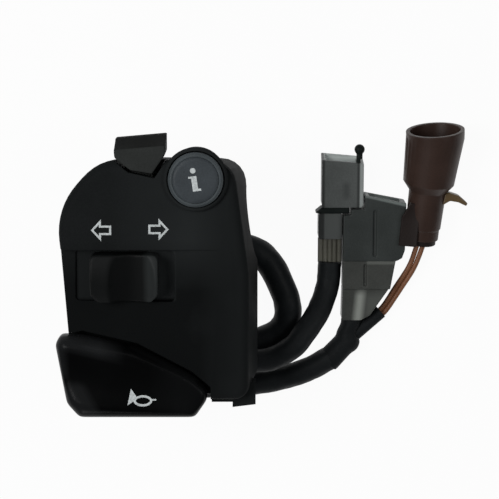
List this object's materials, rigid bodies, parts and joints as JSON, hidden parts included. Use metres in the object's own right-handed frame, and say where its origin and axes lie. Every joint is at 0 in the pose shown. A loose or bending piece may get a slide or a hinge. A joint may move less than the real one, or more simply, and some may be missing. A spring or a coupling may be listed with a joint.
{
  "type": "handlebar switch cluster",
  "caption": "Left handlebar switch cluster with info button, turn slider, beam trigger, horn paddle, split bar clamp and a sleeved harness with plug connectors.",
  "frame": {"origin": "on the handlebar axis inside the clamp, behind the upper part of the face", "axes": "+X along the bar away from the grip, +Y towards the top of the face, +Z out of the face, up as the cluster lies on its back"},
  "size_m": [0.1163, 0.0842, 0.0478],
  "materials": {
    "shell_black": "charcoal black moulded plastic with a fine grain",
    "back_black": "black moulded plastic",
    "thumb_black": "satin black plastic",
    "lever_black": "charcoal black plastic",
    "paddle_gloss": "polished black plastic",
    "button_grey": "blue grey plastic",
    "ring_grey": "lighter grey plastic",
    "slider_grey": "bare grey plastic",
    "switch_dark": "dark switch casing",
    "board_green": "coated circuit board",
    "steel": "plated steel",
    "contact_brass": "bare contact metal",
    "gland_rubber": "black rubber",
    "sleeve_black": "wrinkled black sleeving",
    "wire_pale": "pale wire insulation",
    "wire_brown": "orange brown wire insulation",
    "plug_grey": "smoky translucent plastic",
    "plug_milky": "milky translucent plastic",
    "plug_dark": "dark plastic",
    "plug_brown": "dark brown plastic",
    "latch_amber": "amber translucent plastic"
  },
  "bodies": {
    "housing": {"front_shell": "shell_black", "base_plate": "back_black", "rear_clamp": "back_black", "clamp_screws": "steel", "shell_screws": "steel", "circuit_board": "board_green", "info_switch": "switch_dark", "info_spring": "steel", "turn_contacts": "contact_brass", "turn_spring_left": "steel", "turn_spring_right": "steel", "beam_pin": "steel", "beam_spring": "steel", "beam_switch": "switch_dark", "horn_pin": "steel", "horn_spring": "steel", "horn_switch": "switch_dark", "loom_gland": "gland_rubber", "main_loom": "sleeve_black", "loom_splice": "sleeve_black", "slim_branch": "sleeve_black", "wide_branch": "sleeve_black", "slim_wires": "wire_pale", "slim_body": "plug_grey", "slim_flange": "plug_dark", "slim_cap": "plug_milky", "slim_latch": "plug_dark", "slim_terminals": "contact_brass", "wide_shell": "plug_grey", "wide_cover": "plug_milky", "wide_boot": "plug_milky", "wide_terminals": "contact_brass", "junction_boot": "sleeve_black", "tail_sleeve": "sleeve_black", "brown_wire_left": "wire_brown", "brown_wire_right": "wire_brown", "brown_cup": "plug_brown", "brown_seal": "gland_rubber", "brown_latch": "latch_amber", "brown_terminals": "contact_brass"},
    "info": {"info_button": "button_grey", "info_ring": "ring_grey"},
    "carriage": {"turn_carriage": "slider_grey"},
    "thumb": {"thumb_cap": "thumb_black"},
    "lever": {"beam_lever": "lever_black"},
    "paddle": {"horn_paddle": "paddle_gloss"}
  },
  "joints": [
    {"name": "info_press", "type": "slide", "parent": "housing", "child": "info", "axis": [0, 0, -1], "range_m": [0, 0.0015], "stiffness_N_per_m": 600, "springref_m": -0.001, "deforming": ["info_spring"]},
    {"name": "turn_slide", "type": "slide", "parent": "housing", "child": "carriage", "axis": [1, 0, 0], "range_m": [-0.004, 0.004], "stiffness_N_per_m": 300, "deforming": ["turn_spring_left", "turn_spring_right"]},
    {"name": "turn_cancel", "type": "slide", "parent": "carriage", "child": "thumb", "axis": [0, 0, -1], "range_m": [0, 0.0012], "stiffness_N_per_m": 500, "springref_m": -0.001},
    {"name": "beam_swing", "type": "hinge", "parent": "housing", "child": "lever", "pos_m": [-0.0046, 0.01115, 0.0213], "axis": [1, 0, 0], "range_deg": [-8, 8], "stiffness_Nm_per_rad": 0.08, "deforming": ["beam_spring"]},
    {"name": "horn_press", "type": "hinge", "parent": "housing", "child": "paddle", "pos_m": [0.008, -0.044, 0.022], "axis": [0, -1, 0], "range_deg": [0, 4.5], "stiffness_Nm_per_rad": 0.3, "springref_deg": -2.86, "deforming": ["horn_spring"]}
  ]
}
